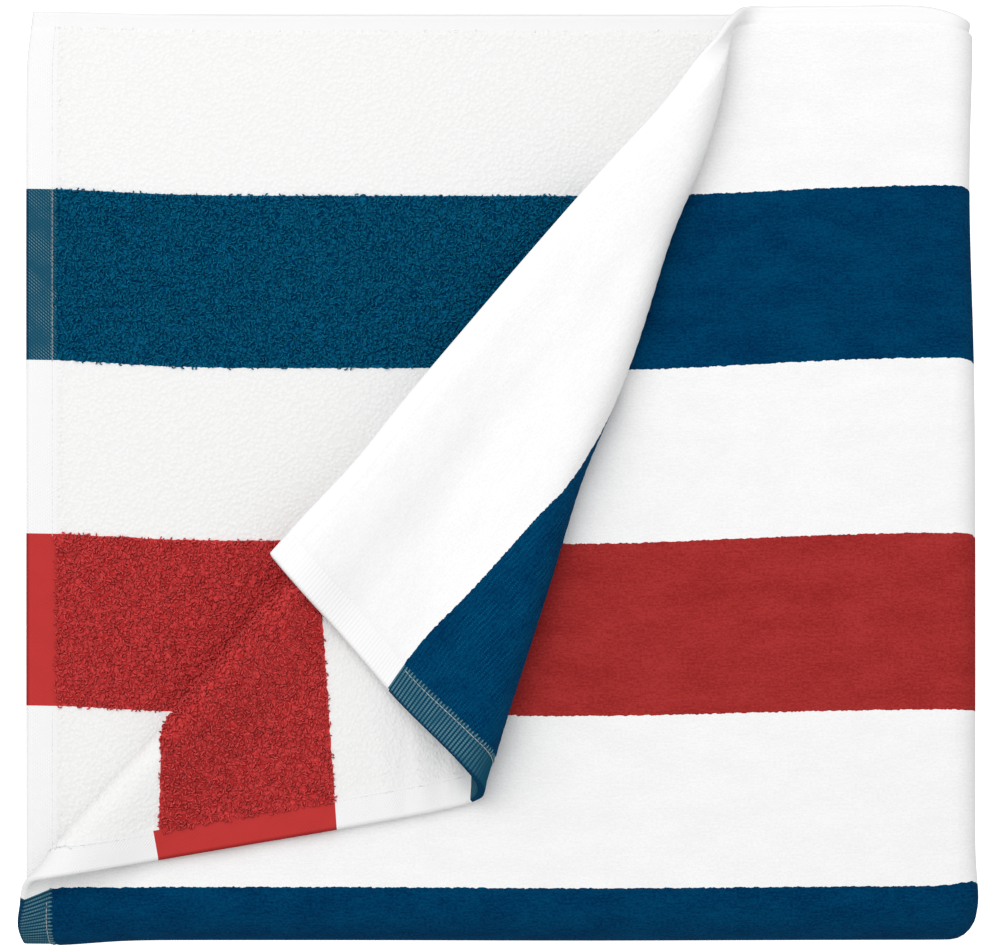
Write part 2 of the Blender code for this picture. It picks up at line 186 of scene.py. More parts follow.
@dataclass
class FoldedCloth:
    """The cloth in millimetres, and where each point of it lies once it is folded.

    A flat point is (u, v): u runs along the towel from the top layer's end hem, and v across it from the top
    layer's selvedge.
    """

    length: float = 1505.0
    width: float = 762.0
    thickness: float = 4.0
    hem_thickness: float = 2.8
    end_hem: float = 11.7
    side_hem: float = 5.6
    hem_shoulder: float = 2.0
    stripe: float = 69.3
    selvedge_extra: float = 2.7
    pitch: float = 5.2
    top_level: int = 3
    right_x: float = 180.2
    top_hem_x: float = -190.4
    second_hem_x: float = -188.4
    long_fold_y: float = -166.8
    tight: float = 4.0
    tip_lift: float = 1.0
    overhang_ease: float = 1.8
    probe: float = 0.05
    hidden_depth: float = 22.0
    hidden_turn: float = -0.9
    hidden_past_fold: float = 14.0
    first_roll: Roll = Roll(344.6, 286.5, (-188.4, -162.6), (98.0, 186.0), 7.0, 30.0, -1.0)
    second_roll: Roll = Roll(131.0, 283.5, (-6.0, -115.9), (94.0, 182.0), 9.5, 40.0, 1.0)
    terry_panel: tuple[PanelRow, ...] = (
        PanelRow(0.0, 116.1, -94.3, -0.075, 0.98),
        PanelRow(70.0, 51.6, -111.7, -0.075, 0.99),
        PanelRow(133.6, -4.0, -127.6, -0.075, 1.00),
        PanelRow(211.5, -65.6, -139.9, -0.070, 1.02),
        PanelRow(279.4, -137.1, -151.8, 0.0, 1.02),
        PanelRow(344.6, -192.6, -160.6, 0.02, 1.02),
    )
    velour_panel: tuple[PanelRow, ...] = (
        PanelRow(0.0, -90.2, -31.0, 0.648, 0.746),
        PanelRow(72.3, -42.5, -85.1, 0.625, 0.768),
        PanelRow(133.6, -0.8, -130.0, 0.615, 0.775),
        PanelRow(344.6, 142.8, -285.0, 0.580, 0.800),
    )
    pulls: tuple[Pull, ...] = (
        Pull(3, 3, -188.0, 40.0, 45.0, 160.0, 0.0, 3.4),
        Pull(3, 3, -188.0, 186.0, 14.0, 16.0, 2.6, 0.0),
        Pull(3, 3, -188.0, -91.0, 45.0, 40.0, 0.0, 1.4),
        Pull(0, 3, 190.0, 190.0, 14.0, 14.0, -1.0, -5.0),
        Pull(0, 3, 190.0, 115.0, 24.0, 60.0, -2.2, 0.0),
        Pull(0, 0, -100.0, -60.0, 50.0, 50.0, 5.0, 0.0),
        Pull(0, 0, 30.0, 20.0, 60.0, 140.0, 0.0, -2.6),
        Pull(0, 0, 75.0, 100.0, 50.0, 60.0, 0.0, -1.6),
        Pull(0, 0, 178.0, 20.0, 70.0, 140.0, 0.0, 2.3),
        Pull(0, 0, 190.0, -165.0, 10.0, 16.0, 0.0, 2.4),
        Pull(0, 3, 190.0, -171.0, 24.0, 14.0, 1.3, 0.0),
        Pull(0, 0, -190.0, -168.0, 9.0, 12.0, 0.0, -4.0),
        Pull(0, 0, -192.0, -177.0, 18.0, 8.0, -1.3, 0.0),
        Pull(0, 0, -180.0, -187.0, 22.0, 9.0, 0.0, -3.6),
    )
    corner_pulls: tuple[CornerPull, ...] = (
        CornerPull(165.0, 55.0, 85.0, 50.0, 5.0, -1.7),
        CornerPull(5.0, 112.0, 34.0, 22.0, -0.4, 2.8),
        CornerPull(40.0, 279.9, 90.0, 22.0, 2.3, 0.0),
        CornerPull(252.0, 14.0, 30.0, 16.0, 4.0, 0.0),
        CornerPull(228.0, 27.0, 26.0, 15.0, 3.6, 0.0),
        CornerPull(262.0, 0.0, 20.0, 7.0, -2.8, 0.0),
        CornerPull(165.0, 0.0, 75.0, 22.0, -2.8, 0.0),
        CornerPull(48.0, 0.0, 24.0, 20.0, 1.8, 0.0),
        CornerPull(100.0, 74.0, 40.0, 16.0, -2.6, 0.9),
        CornerPull(48.0, 276.0, 22.0, 40.0, 1.4, 0.0),
        CornerPull(35.0, 74.0, 34.0, 16.0, -2.8, 1.0),
    )
    mounds: tuple[Mound, ...] = (
        Mound(60.0, -60.0, 110.0, 90.0, 1.6),
        Mound(-120.0, 90.0, 80.0, 90.0, 1.0),
        Mound(150.0, 120.0, 70.0, 60.0, -1.0),
        Mound(-60.0, -170.0, 120.0, 40.0, -0.8),
    )
    creases: tuple[Crease, ...] = (
        Crease(14.0, 186.0, 22.0, 2.6, 8.0, 0.5),
        Crease(12.0, 177.0, 18.0, 2.4, -6.0, -0.5),
        Crease(15.0, 168.0, 24.0, 2.8, 4.0, 0.6),
        Crease(12.0, 158.0, 20.0, 2.6, -8.0, -0.5),
        Crease(16.0, 149.0, 24.0, 2.6, 6.0, 0.5),
        Crease(60.0, 318.0, 46.0, 6.0, 34.0, -0.9),
        Crease(24.0, 336.0, 34.0, 5.0, 28.0, 0.7),
        Crease(120.0, 24.0, 120.0, 5.0, 0.0, 0.5),
        Crease(110.0, 60.0, 90.0, 9.0, -5.0, -0.4),
    )
    plies: tuple[Ply, ...] = field(init=False)
    offset: np.ndarray = field(init=False)

    def __post_init__(self) -> None:
        """Work out the plies, and where the folded cloth is set down."""
        ends = (self.right_x - self.top_hem_x) + (self.right_x - self.second_hem_x)
        crosswise_folds = 2.5 * math.pi * self.pitch
        left_x = self.right_x - (self.length - ends - crosswise_folds) / 2
        self.plies = (
            Ply(self.top_hem_x, self.right_x, self.top_level, 186.0, 182.4),
            Ply(self.right_x, left_x, 0, 182.6, 183.2),
            Ply(left_x, self.right_x, 1, 184.0, 181.6),
            Ply(self.right_x, self.second_hem_x, 2, 183.0, 183.8),
        )
        self.offset = np.zeros(3)

    @property
    def bend_width(self) -> float:
        """The cloth that the fold along it takes on the top ply."""
        return (self.top_level + 0.5) * math.pi * self.pitch

    @property
    def bend_start(self) -> float:
        """The v at which the cloth starts to turn under."""
        return (self.width - self.bend_width) / 2

    def fold_length(self, i: int) -> float:
        """The cloth in the crosswise fold after ply i."""
        return math.pi * abs(self.plies[i + 1].level - self.plies[i].level) * self.pitch / 2

    def ply_start(self, i: int) -> float:
        """The u at which ply i starts."""
        runs = sum(abs(ply.end_x - ply.start_x) for ply in self.plies[:i])
        return runs + sum(self.fold_length(j) for j in range(i))

    def section(self, u: np.ndarray) -> tuple[np.ndarray, np.ndarray, np.ndarray]:
        """Where u lies in the crosswise section.

        Args:
            u: Places along the flat cloth.

        Returns:
            Its x, its level in the stack, and its ply, or a number between two plies in a fold.
        """
        x, level, number = np.zeros_like(u), np.zeros_like(u), np.zeros_like(u)
        for i, ply in enumerate(self.plies):
            start = self.ply_start(i)
            way = math.copysign(1.0, ply.end_x - ply.start_x)
            on = (u >= start) | (i == 0)
            x[on] = ply.start_x + way * (u[on] - start)
            level[on], number[on] = ply.level, i
            if i + 1 == len(self.plies):
                continue
            rise = self.plies[i + 1].level - ply.level
            radius = self.fold_length(i) / math.pi
            on = u >= start + abs(ply.end_x - ply.start_x)
            turn = (u[on] - start - abs(ply.end_x - ply.start_x)) / radius
            x[on] = ply.end_x + way * radius * np.sin(turn)
            level[on] = ply.level + rise * (1 - np.cos(turn)) / 2
            number[on] = i + (1 - np.cos(np.minimum(turn, math.pi))) / 2
        return x, level, number

    def packet(self, u: np.ndarray, v: np.ndarray) -> tuple[np.ndarray, np.ndarray, np.ndarray]:
        """Where the cloth lies before its corner is turned.

        Args:
            u: Places along the flat cloth.
            v: Places across it.

        Returns:
            Its x, y and z.
        """
        x, level, number = self.section(u)
        radius = (level + 0.5) * self.pitch
        turn = np.clip((v - self.bend_start) / self.bend_width, 0.0, 1.0) * math.pi
        selvedge = np.interp(number, range(len(self.plies)), [ply.selvedge_y for ply in self.plies])
        under = np.interp(number, range(len(self.plies)), [ply.under_y for ply in self.plies])
        above = selvedge - v * (selvedge - self.long_fold_y) / self.bend_start
        past = v - self.bend_start - self.bend_width
        below = self.long_fold_y + past * (under - self.long_fold_y) / self.bend_start
        in_bend = self.long_fold_y - radius * np.sin(turn)
        y = np.where(past > 0, below, np.where(v < self.bend_start, above, in_bend))
        z = radius * np.cos(turn) - 0.5 * self.pitch
        upper = np.cos(turn / 2) ** 2
        dx, dy = np.zeros_like(x), np.zeros_like(x)
        for pull in self.pulls:
            near = bell(x - pull.x, y - pull.y, pull.reach_x, pull.reach_y) * upper
            near = near * (1.0 - smooth(2.0 * np.maximum(pull.first - number, number - pull.last)))
            dx, dy = dx + near * pull.dx, dy + near * pull.dy
        return x + dx, y + dy, z

    def roll_apex(self) -> tuple[float, float]:
        """Where the two rolls' lines would cross on the flat cloth."""
        a, b = self.first_roll, self.second_roll
        u = (a.hem_v - b.hem_v) / (a.hem_v / a.selvedge_u - b.hem_v / b.selvedge_u)
        return u, a.hem_v * (1 - u / a.selvedge_u)

    def roll_turn(self, roll: Roll, u: np.ndarray, v: np.ndarray) -> tuple[np.ndarray, np.ndarray]:
        """How far round a roll the cloth is.

        Args:
            roll: The roll.
            u: Places along the flat cloth.
            v: Places across it.

        Returns:
            The turn, -90 to 90 degrees in radians, and the roll's radius there.
        """
        apex_u, apex_v = self.roll_apex()
        along_u, along_v = -apex_u, roll.hem_v - apex_v
        length = math.hypot(along_u, along_v)
        along_u, along_v = along_u / length, along_v / length
        along = (u - apex_u) * along_u + (v - apex_v) * along_v
        past = (u - apex_u) * -along_v + (v - apex_v) * along_u
        radius = self.tight + (roll.radius - self.tight) / length * np.maximum(along, 0.0)
        return np.clip(past / radius, -math.pi / 2, math.pi / 2), radius

    @staticmethod
    def inside_roll(roll: Roll, x: np.ndarray, y: np.ndarray) -> tuple[np.ndarray, float, float]:
        """How far a place in the packet is inside a roll's outer side.

        Args:
            roll: The roll.
            x: Places in the packet.
            y: Places in the packet.

        Returns:
            The distance inside, and the way out of the roll.
        """
        from_x, from_y = roll.selvedge_at
        along_x, along_y = roll.hem_at[0] - from_x, roll.hem_at[1] - from_y
        length = math.hypot(along_x, along_y)
        out_x, out_y = -roll.side * along_y / length, roll.side * along_x / length
        return -((x - from_x) * out_x + (y - from_y) * out_y), out_x, out_y

    @staticmethod
    def turned(rows: tuple[PanelRow, ...], u: np.ndarray, v: np.ndarray) -> tuple[np.ndarray, np.ndarray]:
        """Where a turned panel lies.

        Args:
            rows: The panel's rows.
            u: Places along the flat cloth.
            v: Places across it.

        Returns:
            Its x and y: its hem on a smooth curve through the rows, and u along their direction.
        """
        knots = np.array([row.v for row in rows])
        values = np.array([(row.hem_x, row.hem_y, row.run_x, row.run_y) for row in rows])
        slopes = np.gradient(values, knots, axis=0)
        i = np.clip(np.searchsorted(knots, v) - 1, 0, len(knots) - 2)
        gap = knots[i + 1] - knots[i]
        t = np.clip((v - knots[i]) / gap, -0.2, 1.2)[:, None]
        a, b, gap = values[i], values[i + 1], gap[:, None]
        curve = a + (3 * t**2 - 2 * t**3) * (b - a)
        curve += gap * ((t**3 - 2 * t**2 + t) * slopes[i] + (t**3 - t**2) * slopes[i + 1])
        return curve[:, 0] + u * curve[:, 2], curve[:, 1] + u * curve[:, 3]

    def crease_lift(self, u: np.ndarray, v: np.ndarray) -> np.ndarray:
        """How far the creases lift the cloth."""
        lift = np.zeros_like(u)
        for crease in self.creases:
            cos, sin = math.cos(math.radians(crease.degrees)), math.sin(math.radians(crease.degrees))
            along = (u - crease.u) * cos + (v - crease.v) * sin
            across = (v - crease.v) * cos - (u - crease.u) * sin
            lift += crease.rise * bell(along, across, crease.length, crease.width)
        return lift

    def middle(self, u: np.ndarray, v: np.ndarray) -> np.ndarray:
        """The middle of the cloth at each flat point, as rows of x, y and z."""
        x, y, z = self.packet(u, v)
        turn_1, radius_1 = self.roll_turn(self.first_roll, u, v)
        turn_2, radius_2 = self.roll_turn(self.second_roll, u, v)
        over_1, over_2 = (1 + np.sin(turn_1)) / 2, (1 + np.sin(turn_2)) / 2
        for rows, over in ((self.terry_panel, over_1), (self.velour_panel, over_2)):
            to_x, to_y = self.turned(rows, u, v)
            x, y = x + over * (to_x - x), y + over * (to_y - y)
        for pull in self.corner_pulls:
            near = over_1 * bell(u - pull.u, v - pull.v, pull.reach_u, pull.reach_v)
            x, y = x + near * pull.dx, y + near * pull.dy
        for roll, turn, radius in ((self.first_roll, turn_1, radius_1), (self.second_roll, turn_2, radius_2)):
            taken_up = radius * (math.pi / 2 - turn * np.sin(turn) - np.cos(turn))
            _, out_x, out_y = self.inside_roll(roll, x, y)
            x, y = x - taken_up * out_x, y - taken_up * out_y
        inside_1 = self.inside_roll(self.first_roll, x, y)[0]
        inside_2 = self.inside_roll(self.second_roll, x, y)[0]
        fall_1 = smooth((inside_1 - radius_1) / self.first_roll.fall)
        fall_2 = smooth((inside_2 - radius_2) / self.second_roll.fall)
        z = z + over_1 * (2 * radius_1 - (2 * radius_1 - self.pitch) * fall_1)
        z = z + over_2 * (2 * radius_2 - (2 * radius_2 - self.pitch - self.tip_lift) * fall_2)
        overhang = np.maximum(radius_1 - inside_1, 0.0)
        z = z - over_2 * overhang**2 / (2 * self.overhang_ease * (radius_1 + self.pitch))
        height = (z + (self.top_level + 1) * self.pitch) / ((2 * self.top_level + 1) * self.pitch)
        for mound in self.mounds:
            near = bell(x - mound.x, y - mound.y, mound.reach_x, mound.reach_y)
            z = z + np.clip(height, 0.0, 1.0) * near * mound.rise
        z = z + self.crease_lift(u, v)
        return np.stack([x, y, z], axis=-1)

    def axes(self, u: np.ndarray, v: np.ndarray) -> tuple[np.ndarray, np.ndarray, np.ndarray]:
        """The cloth's directions at each flat point.

        Args:
            u: Places along the flat cloth.
            v: Places across it.

        Returns:
            The directions along it and across it, and out of its velour face.
        """
        along = self.middle(u + self.probe, v) - self.middle(u - self.probe, v)
        across = self.middle(u, v + self.probe) - self.middle(u, v - self.probe)
        return unit(along), unit(across), unit(np.cross(across, along))

    def half_thickness(self, u: np.ndarray, v: np.ndarray) -> np.ndarray:
        """Half of the cloth's thickness: less on its hems."""
        in_end = np.minimum(u, self.length - u) - self.end_hem
        in_side = np.minimum(v, self.width - v) - self.side_hem
        pile = smooth(np.minimum(in_end, in_side) / self.hem_shoulder)
        return (self.hem_thickness + (self.thickness - self.hem_thickness) * pile) / 2

    def stripe_of(self, v: np.ndarray) -> np.ndarray:
        """Which stripe a place across the cloth is in, counted from its nearer selvedge."""
        from_selvedge = np.minimum(v, self.width - v) - self.selvedge_extra
        return np.maximum(np.floor(from_selvedge / self.stripe), 0.0).astype(int)

    def on_back(self, u: np.ndarray, v: np.ndarray) -> np.ndarray:
        """Whether the terry of the second layer shows at a flat point, or nearly."""
        placed = self.middle(u, v)
        inside = self.inside_roll(self.first_roll, placed[:, 0], placed[:, 1])[0]
        return (u > self.ply_start(3)) & (v < self.bend_start - 2.0) & (inside < self.hidden_depth)

    def on_turned(self, u: np.ndarray, v: np.ndarray) -> np.ndarray:
        """Whether the terry of the turned corner shows at a flat point, or nearly."""
        turn_1 = self.roll_turn(self.first_roll, u, v)[0]
        turn_2 = self.roll_turn(self.second_roll, u, v)[0]
        placed = self.middle(u, v)
        corner, tip = self.middle(np.zeros(2), np.array([0.0, self.second_roll.hem_v]))
        along = unit(tip - corner)
        beyond = (placed[:, 0] - corner[0]) * along[1] - (placed[:, 1] - corner[1]) * along[0]
        outside = (turn_1 > self.hidden_turn) & (turn_2 < 0.0) & (beyond > -self.hidden_past_fold)
        return (u < self.ply_start(1)) & outside


@dataclass(frozen=True)
class Socket:
    """A shader value, with arithmetic that adds Math nodes."""

    tree: bpy.types.NodeTree
    output: bpy.types.NodeSocket

    def math(
        self, operation: str, *others: "Socket | float", first: "Socket | float | None" = None
    ) -> "Socket":
        """A Math node on this value.

        Args:
            operation: The Math node's operation.
            others: The values after the first.
            first: The first value where it isn't this one.

        Returns:
            The result.
        """
        made = self.tree.nodes.new("ShaderNodeMath")
        made.operation = operation
        for place, value in enumerate([self if first is None else first, *others]):
            if isinstance(value, Socket):
                self.tree.links.new(value.output, made.inputs[place])
            else:
                made.inputs[place].default_value = value
        return Socket(self.tree, made.outputs[0])

    __add__ = partialmethod(math, "ADD")
    __sub__ = partialmethod(math, "SUBTRACT")
    __mul__ = partialmethod(math, "MULTIPLY")
    __rmul__ = partialmethod(math, "MULTIPLY")
    __truediv__ = partialmethod(math, "DIVIDE")
    __mod__ = partialmethod(math, "FLOORED_MODULO")
    __abs__ = partialmethod(math, "ABSOLUTE")
    __gt__ = partialmethod(math, "GREATER_THAN")
    __lt__ = partialmethod(math, "LESS_THAN")

    def __rsub__(self, other: float) -> "Socket":
        """other - self."""
        return self.math("SUBTRACT", self, first=other)

    def __floordiv__(self, other: float) -> "Socket":
        """How many whole times other goes into self."""
        return (self / other).math("FLOOR")

    def near(self, value: float) -> "Socket":
        """1 where self is within a half of value."""
        return self.math("COMPARE", value, 0.5)

    def clamp(self) -> "Socket":
        """self, kept from 0 to 1."""
        return self.math("MINIMUM", 1.0).math("MAXIMUM", 0.0)


class FinishTree:
    """A material's nodes, made from Python expressions."""

    def __init__(self, name: str) -> None:
        """Start a material with its one shader."""
        self.material = bpy.data.materials.new(name)
        self.material.use_nodes = True
        self.tree = self.material.node_tree
        self.shader = self.tree.nodes["Principled BSDF"]

    def node(
        self, kind: str, settings: dict | None = None, values: dict | None = None, out: int | str = 0
    ) -> Socket:
        """Add one node.

        Args:
            kind: The node's type.
            settings: Its settings, which are set first.
            values: The values or links of its inputs.
            out: The output that is wanted.

        Returns:
            That output.
        """
        made = self.tree.nodes.new(kind)
        for name, value in (settings or {}).items():
            setattr(made, name, value)
        for name, value in (values or {}).items():
            if isinstance(value, Socket):
                self.tree.links.new(value.output, made.inputs[name])
            else:
                made.inputs[name].default_value = value
        return Socket(self.tree, made.outputs[out])

    def flat(self) -> tuple[Socket, Socket, Socket]:
        """The place on the flat cloth in metres, as a vector, its u and its v."""
        place = self.node("ShaderNodeUVMap", {"uv_map": "cloth"})
        u = self.node("ShaderNodeSeparateXYZ", values={0: place}, out=0)
        v = self.node("ShaderNodeSeparateXYZ", values={0: place}, out=1)
        return place, u, v

    def noise(self, place: Socket, scale: float, detail: float = 2.0, roughness: float = 0.5) -> Socket:
        """Noise about 0.5, with scale features to the metre."""
        values = {"Vector": place, "Scale": scale, "Detail": detail, "Roughness": roughness}
        return self.node("ShaderNodeTexNoise", {"noise_dimensions": "3D"}, values)

    def stretched(self, place: Socket, along: float, across: float) -> Socket:
        """The place with its two directions scaled."""
        values = {0: place, 1: (along, across, 1.0)}
        return self.node("ShaderNodeVectorMath", {"operation": "MULTIPLY"}, values)

    def mix(self, share: Socket | float, a: Socket | Colour, b: Socket | Colour) -> Socket:
        """Colour a where share is 0 and b where it is 1."""
        a, b = (value if isinstance(value, Socket) else (*value, 1.0) for value in (a, b))
        return self.node("ShaderNodeMix", {"data_type": "RGBA"}, {0: share, 6: a, 7: b}, 2)

    def bump(self, height: Socket, distance: float) -> Socket:
        """A normal from a height, whose full range stands distance metres high."""
        return self.node("ShaderNodeBump", values={"Height": height, "Distance": distance, "Strength": 1.0})

    def finish(
        self, colour: Socket, roughness: float, normal: Socket | None = None, sheen: float = 0.0
    ) -> bpy.types.Material:
        """Link the shader.

        Args:
            colour: The base colour.
            roughness: The roughness.
            normal: The bumped normal, if any.
            sheen: The weight of the fibres' sheen, the same all over.

        Returns:
            The material.
        """
        self.tree.links.new(colour.output, self.shader.inputs["Base Color"])
        if normal is not None:
            self.tree.links.new(normal.output, self.shader.inputs["Normal"])
        self.shader.inputs["Roughness"].default_value = roughness
        self.shader.inputs["Sheen Weight"].default_value = sheen
        self.shader.inputs["Sheen Roughness"].default_value = 0.6
        self.shader.inputs["Specular IOR Level"].default_value = 0.0
        return self.material


@dataclass(frozen=True)
class Dyes:
    """The three yarns' colours in one finish."""

    white: Colour
    blue: Colour
    red: Colour

    def of(self, stripe: Stripe) -> Colour:
        """The colour of one stripe."""
        return {Stripe.WHITE: self.white, Stripe.BLUE: self.blue, Stripe.RED: self.red}[stripe]

    def striped(self, tree: FinishTree, cloth: FoldedCloth, v: Socket) -> Socket:
        """The stripes' colour across the cloth.

        Args:
            tree: The material's nodes.
            cloth: The cloth, for its stripes' sizes.
            v: The place across it, in metres.

        Returns:
            The colour.
        """
        half = cloth.width / 2 * MM
        number = (half - abs(v - half) - cloth.selvedge_extra * MM) // (cloth.stripe * MM)
        (first, last), (red,) = STRIPES[Stripe.BLUE], STRIPES[Stripe.RED]
        colour = tree.mix(number.near(first) + number.near(last), self.white, self.blue)
        return tree.mix(number.near(red), colour, self.red)


VELOUR_DEEP = Dyes((0.825, 0.825, 0.825), (0.0, 0.022, 0.073), (0.275, 0.018, 0.018))
VELOUR_LIGHT = Dyes((0.885, 0.885, 0.885), (0.0, 0.052, 0.128), (0.385, 0.034, 0.032))
# painted shade: the terry ground is given a deeper colour than the loops' own yarn, standing in for the shade
# down between the loops
TERRY_GROUND_SHADE = Dyes((0.80, 0.80, 0.795), (0.0, 0.034, 0.105), (0.450, 0.026, 0.026))
TERRY_LOOP = Dyes((0.845, 0.845, 0.84), (0.004, 0.130, 0.245), (0.670, 0.068, 0.069))
HEM_WEAVE = Dyes((0.87, 0.87, 0.87), (0.008, 0.070, 0.120), (0.480, 0.038, 0.037))
HEM_UNDER = Dyes((0.815, 0.815, 0.815), HEM_WEAVE.blue, HEM_WEAVE.red)
HEM_DASH = Dyes((0.90, 0.90, 0.90), (0.130, 0.255, 0.300), (0.500, 0.042, 0.041))
HEM_GAP = Dyes((0.85, 0.85, 0.85), (0.0, 0.030, 0.072), (0.455, 0.034, 0.033))
THREADS = {Stripe.WHITE: (0.90, 0.90, 0.90), Stripe.BLUE: (0.46, 0.48, 0.52)}
TICKS = {Stripe.BLUE: (0.120, 0.270, 0.320)}


@dataclass(frozen=True)
class Draw:
    """A drift of the stripes that grows smoothly between two places along the cloth, in millimetres."""

    start: float
    end: float
    amount: float

    def share(self, u: Socket) -> Socket:
        """How much of it has grown, from 0 to 1."""
        grown = ((u / MM - self.start) / (self.end - self.start)).clamp()
        return grown * grown * (3.0 - grown * 2.0)


@dataclass(frozen=True)
class VelourFinish:
    """Sheared pile: soft, with a faint nap that lies unevenly, and ragged where two stripes meet."""

    name: str = "velour"
    ragged: float = 0.7
    nap: float = 0.12
    sheen: float = 0.01
    row: float = 1.55
    pick: float = 1.0
    grain: float = 0.6
    wander: float = 2.0
    worn_end: float = 300.0
    worn_reach: float = 120.0
    corner_end: float = 160.0
    at_hem: float = -0.9
    draws: tuple[Draw, Draw] = (Draw(10.0, 55.0, 3.0), Draw(101.0, 143.0, -6.3))

    def build(self, cloth: FoldedCloth) -> bpy.types.Material:
        """The material for a cloth."""
        tree = FinishTree(self.name)
        place, u, v = tree.flat()
        fray = (tree.noise(place, 620.0) - 0.5) * (self.ragged * 2 * MM)
        dyed = v + fray - self.drawn(u, v)
        patches = tree.noise(tree.stretched(place, 1.0, 2.2), 46.0, 3.0, 0.55)
        tufts = tree.noise(tree.stretched(place, 1.0, 1.5), 900.0, 2.0, 0.6)
        rows = tree.noise(tree.stretched(place, 0.22, 1.0), 1100.0, 2.0, 0.6)
        lit = ((patches - 0.5) * 1.4 + (tufts - 0.5) * 2.6 + (rows - 0.5) * 1.4 + 0.5).clamp()
        deep, light = (dyes.striped(tree, cloth, dyed) for dyes in (VELOUR_DEEP, VELOUR_LIGHT))
        wander = (tree.noise(place, 90.0, 1.0) - 0.5) * (self.wander * MM)
        in_row = abs(((v + wander) % (self.row * MM)) / (self.row * MM) - 0.5)
        in_pick = abs((u % (self.pick * MM)) / (self.pick * MM) - 0.5)
        sparse = (tree.noise(place, 150.0) * 3.0 - 1.0).clamp()
        worn = ((self.worn_end * MM - u - v) / (self.worn_reach * MM)).clamp() * self.grain
        specks = ((0.2 - in_row) * 8.0).clamp() * ((0.3 - in_pick) * 6.0).clamp() * sparse * worn
        colour = tree.mix(specks, tree.mix(lit, deep, light), TERRY_LOOP.striped(tree, cloth, dyed))
        height = tufts + tree.noise(place, 260.0) * 1.5
        return tree.finish(colour, 0.95, tree.bump(height, self.nap * MM), self.sheen)

    def drawn(self, u: Socket, v: Socket) -> Socket:
        """How far the first stripes are drawn across the turned corner, in metres."""
        near, far = self.draws
        shift = near.amount * near.share(u) + far.amount * far.share(u) + self.at_hem
        return shift * (v / MM < PAST_FIRST_EDGE) * (u / MM < self.corner_end) * MM


@dataclass(frozen=True)
class TerryFinish:
    """The ground under the terry loops, coloured darker than the loops as painted shade between them, and the
    loops where they are hidden between the layers, with painted shade in the gaps between their curls.
    """

    name: str = "terry"
    loop: float = 1.5
    ragged: float = 0.6
    height: float = 0.2

    def build(self, cloth: FoldedCloth) -> bpy.types.Material:
        """The material for a cloth."""
        tree = FinishTree(self.name)
        place, _, v = tree.flat()
        curls = tree.node("ShaderNodeTexVoronoi", values={"Vector": place, "Scale": 1.0 / (self.loop * MM)})
        # painted shade: away from each curl's middle the deeper ground colour is mixed in, standing in for
        # the shade in the gaps between the loops
        lit = (1.15 - curls * 1.5).clamp()
        dyed = v + (tree.noise(place, 500.0, 1.0) - 0.5) * (self.ragged * 2 * MM)
        ground, loops = (dyes.striped(tree, cloth, dyed) for dyes in (TERRY_GROUND_SHADE, TERRY_LOOP))
        return tree.finish(tree.mix(lit, ground, loops), 0.95, tree.bump(lit, self.height * MM))


